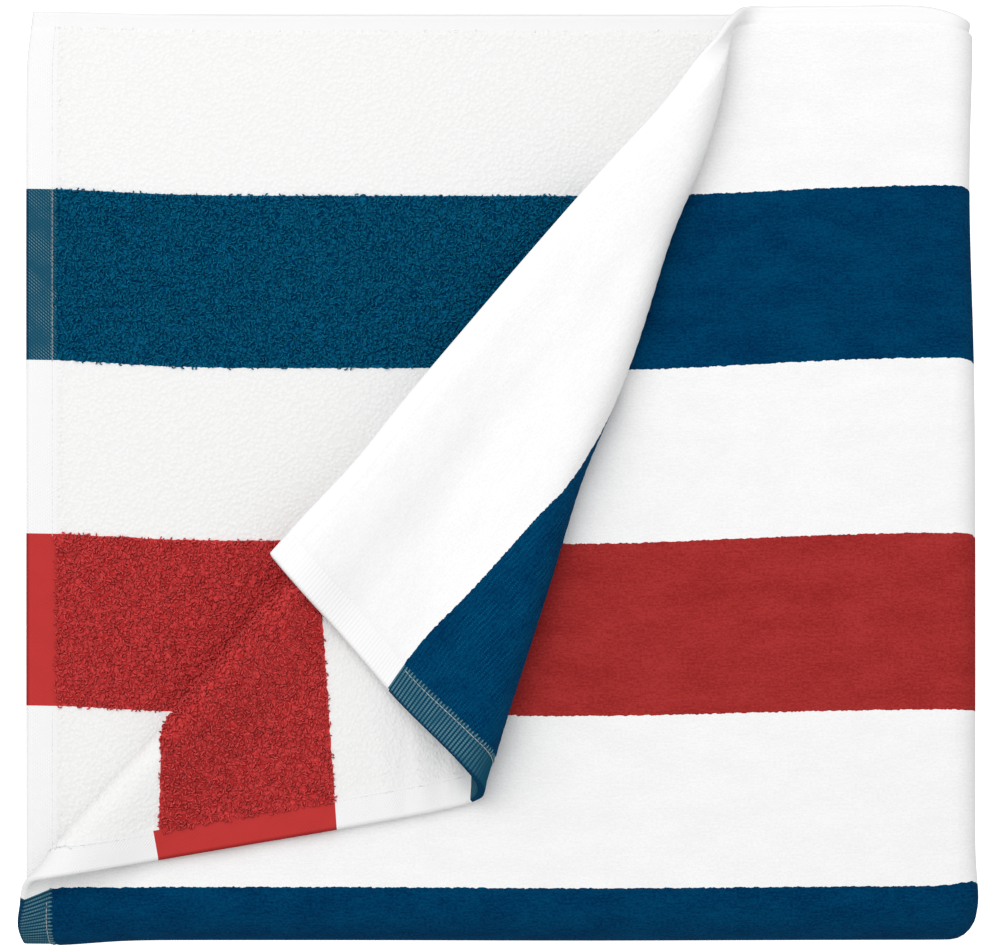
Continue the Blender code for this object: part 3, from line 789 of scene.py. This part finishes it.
@dataclass(frozen=True)
class HemFinish:
    """The flat woven hems: ribs on the velour side and a twill on the terry side, worn away in places, with
    painted shade along the cloth's folded ends.
    """

    side: Side
    rib: float = 1.57
    dash: float = 0.95
    lean: float = 0.25
    twill: float = 1.38
    twill_run: float = 1.55
    relief: float = 0.12
    # the width of the painted shade along the hem's folded outer edge, in millimetres
    edge: float = 0.9
    worn_off: tuple[float, float] = (110.0, 124.0)
    whole_again: float = 160.0
    slip_from: float = 240.0
    slip_reach: float = 30.0
    slip: float = 2.4
    hem_drift: float = 0.9

    def build(self, cloth: FoldedCloth) -> bpy.types.Material:
        """The material for a cloth."""
        tree = FinishTree(f"hem_{self.side.name.lower()}")
        place, u, v = tree.flat()
        if self.side is Side.VELOUR:
            pitch, dash = self.rib * MM, self.dash * MM
            in_rib = abs((v % pitch) / pitch - 0.5)
            in_dash = abs(((u + (v // pitch) * (dash * self.lean)) % dash) / dash - 0.5)
            start, end = self.worn_off
            worn = ((end * MM - v) / ((end - start) * MM)).clamp() + (v / MM > self.whole_again)
            worn = worn * ((tree.noise(place, 130.0) * 4.0 - 1.2).clamp() * 0.55 + 0.45)
            dyed = v + (v / MM < PAST_FIRST_EDGE) * (u < cloth.length / 2 * MM) * (self.hem_drift * MM)
        else:
            pitch, dash = self.twill * MM, self.dash * MM
            in_rib = abs(((u * (self.twill / self.twill_run) + v) % pitch) / pitch - 0.5)
            in_dash = abs((u % dash) / dash - 0.5)
            worn = (tree.noise(place, 110.0) * 5.0 - 2.0).clamp() * 0.75 + 0.25
            along = (1.0 - u / MM / cloth.end_hem).clamp()
            slipped = ((v / MM - self.slip_from) / self.slip_reach).clamp() * (self.slip * MM)
            dyed = v - (1.0 - along) * (along > 0.0) * slipped
        middle = cloth.length / 2 * MM
        from_end = middle - abs(u - middle)
        in_end = from_end < cloth.end_hem * MM
        dotted = 0.65 if self.side is Side.VELOUR else 0.85
        dashes = ((0.36 - in_dash) * 4.0).clamp() * dotted + (1.0 - dotted)
        bright = ((0.33 - in_rib) * 5.0).clamp() * dashes * worn
        gap = ((in_rib - 0.24) * 6.0).clamp() * worn
        colour = (HEM_WEAVE if self.side is Side.VELOUR else HEM_UNDER).striped(tree, cloth, dyed)
        colour = tree.mix(gap * in_end * 0.85, colour, HEM_GAP.striped(tree, cloth, dyed))
        colour = tree.mix(bright * in_end * 0.85, colour, HEM_DASH.striped(tree, cloth, dyed))
        # painted shade: the deep velour colour is mixed in along the folded outer edge of each end hem,
        # standing in for the shade of the fold
        edge_shade = (1.0 - from_end / (self.edge * MM)).clamp() * 0.6
        colour = tree.mix(edge_shade, colour, VELOUR_DEEP.striped(tree, cloth, dyed))
        ribs = (1.0 - in_rib * 2.0) * in_end * worn
        return tree.finish(colour, 0.9, tree.bump(ribs, self.relief * MM))


@dataclass(frozen=True)
class YarnFinish:
    """A yarn whose tone differs from one loop or stitch to the next."""

    name: str
    deep: Colour
    light: Colour

    def build(self) -> bpy.types.Material:
        """The material."""
        tree = FinishTree(self.name)
        tone = tree.node("ShaderNodeAttribute", {"attribute_name": "tone"}, out="Fac")
        return tree.finish(tree.mix(tone, self.deep, self.light), 0.95)


@dataclass
class TowelSheet:
    """The whole cloth as one closed thin sheet, finely divided where it shows."""

    cloth: FoldedCloth
    fine: float = 2.7
    second_layer: float = 4.6
    hidden: float = 26.0
    fold_steps: int = 10
    bend_steps: int = 16
    loop_depth: float = 0.9
    edge_roundness: float = 0.8
    seam_depth: float = 0.8
    seam_reach: float = 0.7

    @staticmethod
    def run(start: float, end: float, step: float) -> np.ndarray:
        """Places from start to end, a step or a little less apart, without the end."""
        return np.linspace(start, end, max(round((end - start) / step), 1), endpoint=False)

    def along_lines(self) -> np.ndarray:
        """Every u at which the cloth is divided."""
        cloth, hem = self.cloth, [0.0, 1.2, self.cloth.end_hem]
        first = cloth.end_hem + cloth.hem_shoulder
        lines = [np.array([*hem, first - 1.0])]
        for i, ply in enumerate(cloth.plies):
            start, end = cloth.ply_start(i), cloth.ply_start(i) + abs(ply.end_x - ply.start_x)
            step = (self.fine, self.hidden, self.hidden, self.second_layer)[i]
            start, end = (first, end) if i == 0 else (start, end if i < 3 else cloth.length - first)
            lines.append(self.run(start, end, step))
            if i < 3:
                fold = cloth.fold_length(i)
                lines.append(self.run(end, end + fold, fold / self.fold_steps))
        lines.append(cloth.length - np.array([first, first - 1.0, *reversed(hem)]))
        return np.concatenate(lines)

    def across_lines(self) -> np.ndarray:
        """Every v at which the cloth is divided."""
        cloth = self.cloth
        hem = [0.0, 1.0, cloth.side_hem, cloth.side_hem + 1.0]
        first, bend_end = cloth.side_hem + cloth.hem_shoulder, cloth.width - cloth.bend_start
        return np.concatenate([
            np.array(hem),
            self.run(first, cloth.bend_start, self.fine),
            self.run(cloth.bend_start, bend_end, cloth.bend_width / self.bend_steps),
            self.run(bend_end, cloth.width - first, self.hidden),
            cloth.width - np.array([first, *reversed(hem)]),
        ])

    def skin(self, u: np.ndarray, v: np.ndarray, side: Side) -> np.ndarray:
        """The cloth's face on one side, sunk to the loops' roots where the loops are built."""
        cloth = self.cloth
        lift = cloth.half_thickness(u, v)
        if side is Side.TERRY:
            pile = (2 * lift - cloth.hem_thickness) / (cloth.thickness - cloth.hem_thickness)
            lift = lift - self.loop_depth * pile * (cloth.on_back(u, v) | cloth.on_turned(u, v))
        from_seam = abs(np.minimum(v, cloth.width - v) - cloth.side_hem)
        lift = lift - self.seam_depth * np.exp(-((from_seam / self.seam_reach) ** 2))
        return cloth.middle(u, v) + cloth.axes(u, v)[2] * (lift * side.value)[:, None]

    def build(self) -> bpy.types.Object:
        """The sheet, set down in the CAD box.

        Returns:
            The towel's object.
        """
        cloth = self.cloth
        along, across = self.along_lines(), self.across_lines()
        u, v = lattice(along, across)
        velour, terry = self.skin(u, v, Side.VELOUR), self.skin(u, v, Side.TERRY)
        self.settle(velour, terry)
        columns, count = len(across), len(u)
        rows, places = lattice(np.arange(len(along) - 1), np.arange(columns - 1))
        first = rows * columns + places
        top = np.stack([first, first + 1, first + columns + 1, first + columns], axis=1)
        under = top[:, ::-1] + count
        ring = self.rim(len(along), columns)
        beside = np.roll(ring, -1)
        edge_u, edge_v = u[ring], v[ring]
        inward = np.clip(edge_u, 0.5, cloth.length - 0.5), np.clip(edge_v, 0.5, cloth.width - 0.5)
        outward = unit(cloth.middle(edge_u, edge_v) - cloth.middle(*inward))
        edge = (velour[ring] + terry[ring]) / 2 + outward * self.edge_roundness
        middle = 2 * count + np.arange(len(ring))
        rim_top = np.stack([ring, beside, np.roll(middle, -1), middle], axis=1)
        rim_under = np.stack([middle, np.roll(middle, -1), beside + count, ring + count], axis=1)
        points = (np.concatenate([velour, terry, edge]) + cloth.offset) * MM
        flat = np.concatenate([np.stack([u, v], axis=1)] * 2 + [np.stack([edge_u, edge_v], axis=1)]) * MM
        faces = np.concatenate([top, under, rim_top, rim_under])
        if self.signed_volume(points, faces) < 0:
            faces = faces[:, ::-1]
        piece = new_piece("towel_cloth", points, faces)
        self.dress(piece, flat, faces, len(top))
        return piece

    def settle(self, velour: np.ndarray, terry: np.ndarray) -> None:
        """Set the lowest ply flat, and find the move that brings the cloth into the CAD box."""
        cloth = self.cloth
        lowest = velour[:, 2] < -(cloth.top_level + 1) * cloth.pitch
        velour[lowest, 2] = velour[:, 2].min()
        points = np.concatenate([velour, terry])
        low, high = points.min(axis=0), points.max(axis=0)
        box_low, box_high = (np.array(corner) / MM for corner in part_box(NODE))
        cloth.offset = (box_low + box_high - low - high) / 2
        cloth.offset[2] = box_low[2] - low[2]

    @staticmethod
    def rim(rows: int, columns: int) -> np.ndarray:
        """The places of the outer grid points, in order round the cloth."""
        grid = np.arange(rows * columns).reshape(rows, columns)
        return np.concatenate([grid[:-1, 0], grid[-1, :-1], grid[:0:-1, -1], grid[0, :0:-1]])

    @staticmethod
    def signed_volume(points: np.ndarray, faces: np.ndarray) -> float:
        """The volume inside four-sided faces, below 0 where they point inwards."""
        a, b, c, d = (points[faces[:, i]] for i in range(4))
        return float((np.cross(b - a, c - a) * a + np.cross(c - a, d - a) * a).sum() / 6)

    def dress(self, piece: bpy.types.Object, flat: np.ndarray, faces: np.ndarray, per_side: int) -> None:
        """Give the sheet its places on the flat cloth and its finishes.

        Args:
            piece: The sheet's object.
            flat: Each vertex's place on the flat cloth, in metres.
            faces: The corners of each face.
            per_side: How many faces each side has.
        """
        cloth, mesh = self.cloth, piece.data
        layer = mesh.uv_layers.new(name="cloth")
        layer.data.foreach_set("uv", flat[faces].astype(np.float32).ravel())
        finishes = (VelourFinish(), TerryFinish(), HemFinish(Side.VELOUR), HemFinish(Side.TERRY))
        for finish in finishes:
            mesh.materials.append(finish.build(cloth))
        centre = flat[faces].mean(axis=1) / MM
        in_end = np.minimum(centre[:, 0], cloth.length - centre[:, 0]) < cloth.end_hem
        in_side = np.minimum(centre[:, 1], cloth.width - centre[:, 1]) < cloth.side_hem
        slots = np.where(np.arange(len(faces)) < per_side, 0, 1)
        slots[in_end | in_side] += 2
        mesh.polygons.foreach_set("material_index", slots.astype(np.int32))
        mesh.update()


def new_piece(name: str, points: np.ndarray, faces: np.ndarray) -> bpy.types.Object:
    """Make a smooth-shaded mesh object.

    Args:
        name: The piece's name.
        points: Its vertices, in metres.
        faces: The corners of its faces, all with as many corners.

    Returns:
        The object, at the origin.
    """
    mesh = bpy.data.meshes.new(name)
    corners = faces.shape[1]
    mesh.vertices.add(len(points))
    mesh.vertices.foreach_set("co", points.astype(np.float32).ravel())
    mesh.loops.add(faces.size)
    mesh.loops.foreach_set("vertex_index", faces.astype(np.int32).ravel())
    mesh.polygons.add(len(faces))
    mesh.polygons.foreach_set("loop_start", np.arange(len(faces), dtype=np.int32) * corners)
    mesh.polygons.foreach_set("use_smooth", np.ones(len(faces), dtype=bool))
    mesh.update(calc_edges=True)
    piece = bpy.data.objects.new(name, mesh)
    bpy.context.scene.collection.objects.link(piece)
    return piece


@dataclass
class Strands:
    """Many short lengths of yarn as one mesh, each a thin tube with closed ends."""

    name: str
    sides: int = 3

    def build(
        self, paths: np.ndarray, ups: np.ndarray, radii: np.ndarray, tones: np.ndarray
    ) -> bpy.types.Object:
        """Sweep a small ring along each path.

        Args:
            paths: For each strand its points, in metres.
            ups: For each strand a direction out of the cloth.
            radii: For each strand its radius at each of its points, in metres.
            tones: For each strand its tone, from 0 to 1.

        Returns:
            The joined mesh, with the tones as an attribute.
        """
        count, steps = paths.shape[:2]
        along = unit(np.gradient(paths, axis=1))
        beside = unit(np.cross(along, ups[:, None, :]))
        above = np.cross(beside, along)
        angles = np.arange(self.sides) * 2 * math.pi / self.sides
        cos, sin = np.cos(angles)[:, None], np.sin(angles)[:, None]
        ring = beside[:, :, None, :] * cos + above[:, :, None, :] * sin
        points = paths[:, :, None, :] + ring * radii[:, :, None, None]
        own = steps * self.sides
        last, fan = own - self.sides, range(1, self.sides - 1)
        station, side = lattice(np.arange(steps - 1), np.arange(self.sides))
        after = (side + 1) % self.sides
        a, b = station * self.sides + side, station * self.sides + after
        triangles = np.concatenate([
            np.stack([a, b, b + self.sides], axis=1),
            np.stack([a, b + self.sides, a + self.sides], axis=1),
            np.array([(0, i + 1, i) for i in fan]),
            np.array([(last, last + i, last + i + 1) for i in fan]),
        ])
        faces = (triangles[None] + (np.arange(count) * own)[:, None, None]).reshape(-1, 3)
        piece = new_piece(self.name, points.reshape(-1, 3), faces)
        tone = piece.data.attributes.new("tone", "FLOAT", "POINT")
        tone.data.foreach_set("value", np.repeat(tones, own).astype(np.float32))
        return piece


@dataclass(frozen=True)
class LoopSize:
    """How the loops of one yarn stand, all in millimetres."""

    spacing: float
    height: float
    yarn: float
    sunk: float
    uneven: float


LOOP_SIZES = {
    Stripe.WHITE: LoopSize(spacing=1.9, height=0.0, yarn=0.6, sunk=0.54, uneven=0.05),
    Stripe.BLUE: LoopSize(spacing=1.5, height=1.1, yarn=0.36, sunk=0.15, uneven=0.15),
    Stripe.RED: LoopSize(spacing=1.5, height=1.1, yarn=0.36, sunk=0.15, uneven=0.15),
}


@dataclass
class TerryLoops:
    """The terry face's uncut loops, where it shows: small arches of yarn that lie over each way."""

    cloth: FoldedCloth
    sheet: TowelSheet
    reach: float = 1.9
    insets: tuple[float, float] = (10.8, 11.0)
    most: int = 7400
    steps: int = 5
    jitter: float = 0.42
    curl: float = 0.7

    def sites(
        self, spacing: float, start_u: float, end_u: float, rng: np.random.Generator
    ) -> tuple[np.ndarray, np.ndarray]:
        """Jittered places over part of the upper half of the cloth.

        Args:
            spacing: How far apart the loops stand.
            start_u: Where the part starts.
            end_u: Where it ends.
            rng: The seeded source of the jitter.

        Returns:
            The places' u and v.
        """
        cloth = self.cloth
        along = np.arange(start_u, end_u, spacing)
        across = np.arange(cloth.side_hem + 1.0, cloth.bend_start, spacing)
        u, v = lattice(along, across)
        u = u + rng.uniform(-self.jitter, self.jitter, len(u)) * spacing
        v = v + rng.uniform(-self.jitter, self.jitter, len(v)) * spacing
        return u, v

    def build(self) -> list[bpy.types.Object]:
        """All the loops, in pieces of one colour each.

        Returns:
            The pieces.
        """
        cloth, rng, pieces = self.cloth, np.random.default_rng(SEED), []
        areas = {
            "turned": (self.insets[0], cloth.ply_start(1), cloth.on_turned),
            "back": (cloth.ply_start(3), cloth.length - self.insets[1], cloth.on_back),
        }
        for stripe, numbers in STRIPES.items():
            finish = YarnFinish(f"loops_{stripe.value}", *self.tones(stripe)).build()
            for area, (start, end, shows) in areas.items():
                u, v = self.sites(LOOP_SIZES[stripe].spacing, start, end, rng)
                kept = np.isin(cloth.stripe_of(v), numbers)
                u, v = u[kept], v[kept]
                kept = shows(u, v)
                u, v = u[kept], v[kept]
                parts = max(math.ceil(len(u) / self.most), 1)
                for part, chosen in enumerate(np.array_split(np.arange(len(u)), parts)):
                    if len(chosen):
                        name = f"loops_{stripe.value}_{area}_{part + 1}"
                        pieces.append(self.loops(name, u[chosen], v[chosen], LOOP_SIZES[stripe], rng, finish))
        return pieces

    @staticmethod
    def tones(stripe: Stripe) -> tuple[Colour, Colour]:
        """The darkest and the palest loop of a colour."""
        light = TERRY_LOOP.of(stripe)
        spread = 0.97 if stripe is Stripe.WHITE else 0.62
        return tuple(part * spread for part in light), light

    def loops(
        self,
        name: str,
        u: np.ndarray,
        v: np.ndarray,
        size: LoopSize,
        rng: np.random.Generator,
        finish: bpy.types.Material,
    ) -> bpy.types.Object:
        """One piece of loops.

        Args:
            name: The piece's name.
            u: The loops' places along the cloth.
            v: The loops' places across it.
            size: How they stand.
            rng: The seeded source of their differences.
            finish: Their material.

        Returns:
            The piece.
        """
        cloth, count = self.cloth, len(u)
        root = self.sheet.skin(u, v, Side.TERRY) + cloth.offset
        along, across, normal = cloth.axes(u, v)
        up = -normal
        turn = rng.uniform(0, 2 * math.pi, count)[:, None]
        way = along * np.cos(turn) + across * np.sin(turn)
        beside = np.cross(up, way)
        reach = self.reach * rng.uniform(0.75, 1.25, count)[:, None, None]
        height = size.height * rng.uniform(0.7, 1.15, count)[:, None, None]
        curl = rng.uniform(-self.curl, self.curl, count)[:, None, None]
        t = np.linspace(0.0, 1.0, self.steps)[None, :, None]
        arch = np.sin(math.pi * t) ** 0.7
        paths = root[:, None] + way[:, None] * reach * (t - 0.5)
        paths = paths + beside[:, None] * curl * np.sin(math.pi * t)
        paths = paths + up[:, None] * (height * arch - size.sunk)
        thick = size.yarn * (1.0 + size.uneven * rng.uniform(-1.0, 1.0, count))
        radii = np.tile(thick[:, None], (1, self.steps))
        piece = Strands(name).build(paths * MM, up, radii * MM, rng.uniform(0.0, 1.0, count))
        piece.data.materials.append(finish)
        return piece


@dataclass
class HemStitches:
    """The hems' lock-stitch lines, and the short stitch ends that stand past them into the pile."""

    cloth: FoldedCloth
    top_line: float = 10.3
    second_line: float = 9.8
    stitch: float = 2.4
    tick_pitch: float = 1.57
    tick: float = 1.8
    thread: float = 0.17
    plain_thread: float = 0.1
    tick_thread: float = 0.3
    deepest: float = 0.8
    points: int = 4

    def build(self) -> list[bpy.types.Object]:
        """The stitches of each end hem, on the sides that show.

        Returns:
            The pieces.
        """
        cloth, rng = self.cloth, np.random.default_rng(SEED + 1)
        reach = (cloth.side_hem, cloth.bend_start + cloth.bend_width / 2)
        top, second = self.top_line, cloth.length - self.second_line
        threads, ticks = self.finishes("thread", THREADS), self.finishes("tick", TICKS)
        pieces = []
        for name, u, side in (
            ("velour", top, Side.VELOUR),
            ("terry", top, Side.TERRY),
            ("second", second, Side.TERRY),
        ):
            starts = np.arange(reach[0], reach[1], self.stitch)
            pieces += self.threads(f"stitches_{name}", u, 0.0, starts, self.stitch * 0.9, side, rng, threads)
            if side is Side.VELOUR:
                starts = np.arange(reach[0], reach[1], self.tick_pitch)
                starts = starts[cloth.stripe_of(starts) % 4 == 1]
                pieces += self.threads(f"ticks_{name}", u + 0.4, self.tick, starts, 0.0, side, rng, ticks)
        return pieces

    def finishes(self, name: str, colours: dict[Stripe, Colour]) -> dict[Stripe, bpy.types.Material]:
        """The thread's finish on each colour of stripe where it shows.

        Args:
            name: The start of the materials' names.
            colours: The thread's palest tone on each of them.

        Returns:
            The materials.
        """
        made = {}
        for stripe, light in colours.items():
            deep = tuple(part * self.deepest for part in light)
            made[stripe] = YarnFinish(f"{name}_{stripe.value}", deep, light).build()
        return made

    def threads(
        self,
        name: str,
        u: float,
        along: float,
        starts: np.ndarray,
        across: float,
        side: Side,
        rng: np.random.Generator,
        finishes: dict[Stripe, bpy.types.Material],
    ) -> list[bpy.types.Object]:
        """Short threads on the cloth's face, one piece for each colour of stripe that they cross.

        Args:
            name: The start of the pieces' names.
            u: Where the threads start along the cloth.
            along: How far they run along it.
            starts: Where they start across the cloth.
            across: How far they run across it.
            side: The face that they lie on.
            rng: The seeded source of their differences.
            finishes: The thread's finish on each colour.

        Returns:
            The pieces.
        """
        cloth, made = self.cloth, []
        starts = starts + rng.uniform(-0.1, 0.1, len(starts))
        numbers = cloth.stripe_of(starts)
        t = np.linspace(0.0, 1.0, self.points)
        for stripe, chosen in STRIPES.items():
            v = starts[np.isin(numbers, chosen)]
            run = along * rng.uniform(0.7, 1.1, len(v))[:, None]
            seen = stripe in finishes and not (stripe is Stripe.WHITE and side is Side.VELOUR)
            if not len(v) or not seen:
                continue
            flat_u, flat_v = (u + run * t).ravel(), (v[:, None] + across * t).ravel()
            normal = cloth.axes(flat_u, flat_v)[2] * side.value
            thread = self.tick_thread if along else self.thread
            if stripe is Stripe.WHITE:
                thread = self.plain_thread
            lift = cloth.half_thickness(flat_u, flat_v) + thread * np.tile([-0.6, 0.5, 0.5, -0.6], len(v))
            points = cloth.middle(flat_u, flat_v) + normal * lift[:, None] + cloth.offset
            paths = points.reshape(len(v), self.points, 3) * MM
            ups = normal.reshape(len(v), self.points, 3)[:, 1]
            radii = np.full((len(v), self.points), thread * MM)
            tones = rng.uniform(0, 1, len(v))
            piece = Strands(f"{name}_{stripe.value}", 4).build(paths, ups, radii, tones)
            piece.data.materials.append(finishes[stripe])
            made.append(piece)
        return made


@dataclass
class Studio:
    """A pale floor, soft light from above, and a camera that looks straight down."""

    distance: float = 1.6
    towel_top: float = 0.040
    sensor: float = 36.0
    floor_size: float = 6.0
    centre: tuple[float, float] = (499.7, 477.9)
    floor_colour: float = 0.92
    floor_glow: float = 0.8
    surround: float = 0.74
    lamp_at: tuple[float, float, float] = (-0.45, 0.72, 1.6)
    lamp_size: float = 1.6
    lamp_power: float = 17.2

    def build(self) -> None:
        """Make the floor, the lights and the camera."""
        self.floor()
        self.lights()
        self.camera()

    def floor(self) -> None:
        """A white floor, lit from within like a light table, just under the towel."""
        half = self.floor_size / 2
        points = np.array([(-half, -half, 0.0), (half, -half, 0.0), (half, half, 0.0), (-half, half, 0.0)])
        floor = new_piece("floor", points, np.array([[0, 1, 2, 3]]))
        tree = FinishTree("floor")
        tree.shader.inputs["Base Color"].default_value = (*[self.floor_colour] * 3, 1.0)
        tree.shader.inputs["Roughness"].default_value = 0.9
        tree.shader.inputs["Emission Color"].default_value = (1.0, 1.0, 1.0, 1.0)
        tree.shader.inputs["Emission Strength"].default_value = self.floor_glow
        floor.data.materials.append(tree.material)
        floor.visible_diffuse = False

    def lights(self) -> None:
        """A bright even surround, with one large soft light a little past the towel's far side."""
        scene = bpy.context.scene
        scene.view_settings.view_transform = "Standard"
        scene.view_settings.look = "None"
        world = bpy.data.worlds.new("surround")
        scene.world = world
        world.use_nodes = True
        background = world.node_tree.nodes["Background"]
        background.inputs["Color"].default_value = (1.0, 1.0, 1.0, 1.0)
        background.inputs["Strength"].default_value = self.surround
        data = bpy.data.lights.new("key", "AREA")
        data.size, data.energy = self.lamp_size, self.lamp_power
        lamp = bpy.data.objects.new("key", data)
        scene.collection.objects.link(lamp)
        x, y, z = lamp.location = self.lamp_at
        lamp.rotation_euler = (math.atan2(math.hypot(x, y), z), 0.0, math.atan2(y, x) + math.pi / 2)

    def camera(self) -> None:
        """A camera above the towel, framed as the photograph is."""
        data = bpy.data.cameras.new("camera")
        data.sensor_width = self.sensor
        data.lens = self.sensor * self.distance / (PHOTO_WIDTH * PIXEL)
        camera = bpy.data.objects.new("camera", data)
        bpy.context.scene.collection.objects.link(camera)
        x = (PHOTO_WIDTH / 2 - self.centre[0]) * PIXEL
        y = (self.centre[1] - PHOTO_HEIGHT / 2) * PIXEL
        camera.location = (x, y, self.towel_top + self.distance)
        bpy.context.scene.camera = camera


def main() -> None:
    """Build the towel's pieces in order, and set the stage."""
    logging.basicConfig(level=logging.INFO, format="%(name)s: %(message)s")
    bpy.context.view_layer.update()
    bpy.ops.object.select_all(action="DESELECT")
    cloth = FoldedCloth()
    sheet = TowelSheet(cloth)
    towel = sheet.build()
    details = TerryLoops(cloth, sheet).build() + HemStitches(cloth).build()
    for piece in (towel, *details):
        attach(piece, BODY)
        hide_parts(NODE)
        LOG.info("%s has %d faces", piece.name, len(piece.data.polygons))
    Studio().build()


if __name__ == "__main__":
    main()
